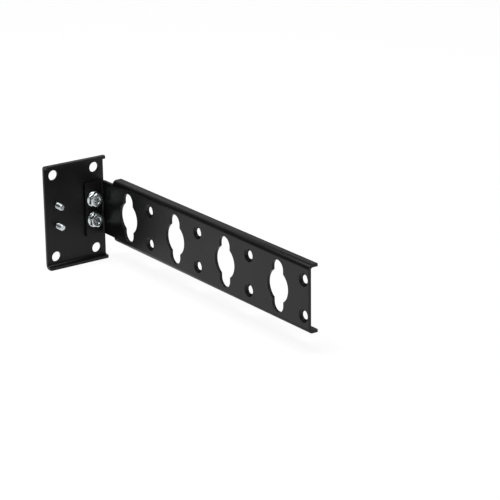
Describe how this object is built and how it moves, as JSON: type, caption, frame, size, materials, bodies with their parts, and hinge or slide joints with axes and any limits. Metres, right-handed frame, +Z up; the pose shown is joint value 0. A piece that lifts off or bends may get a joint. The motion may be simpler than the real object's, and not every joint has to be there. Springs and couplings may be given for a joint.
{
  "type": "pdu mounting bracket",
  "caption": "Folded steel rack bracket: a bolt-on ear with studs and a flanged channel arm with double-ended keyholes for hanging a power strip.",
  "frame": {"origin": "centre of the ear's four bolt holes, on the face that meets the rack post", "axes": "+X along the arm away from the post, +Y from the ear's free side to the arm, +Z up"},
  "size_m": [0.2342, 0.051, 0.0726],
  "materials": {
    "black_coat": "satin black powder coat",
    "zinc": "bright zinc plate"
  },
  "bodies": {
    "root": {"ear_plate": "black_coat", "channel_arm": "black_coat", "clinch_studs": "zinc", "flange_nuts": "zinc"}
  },
  "joints": []
}
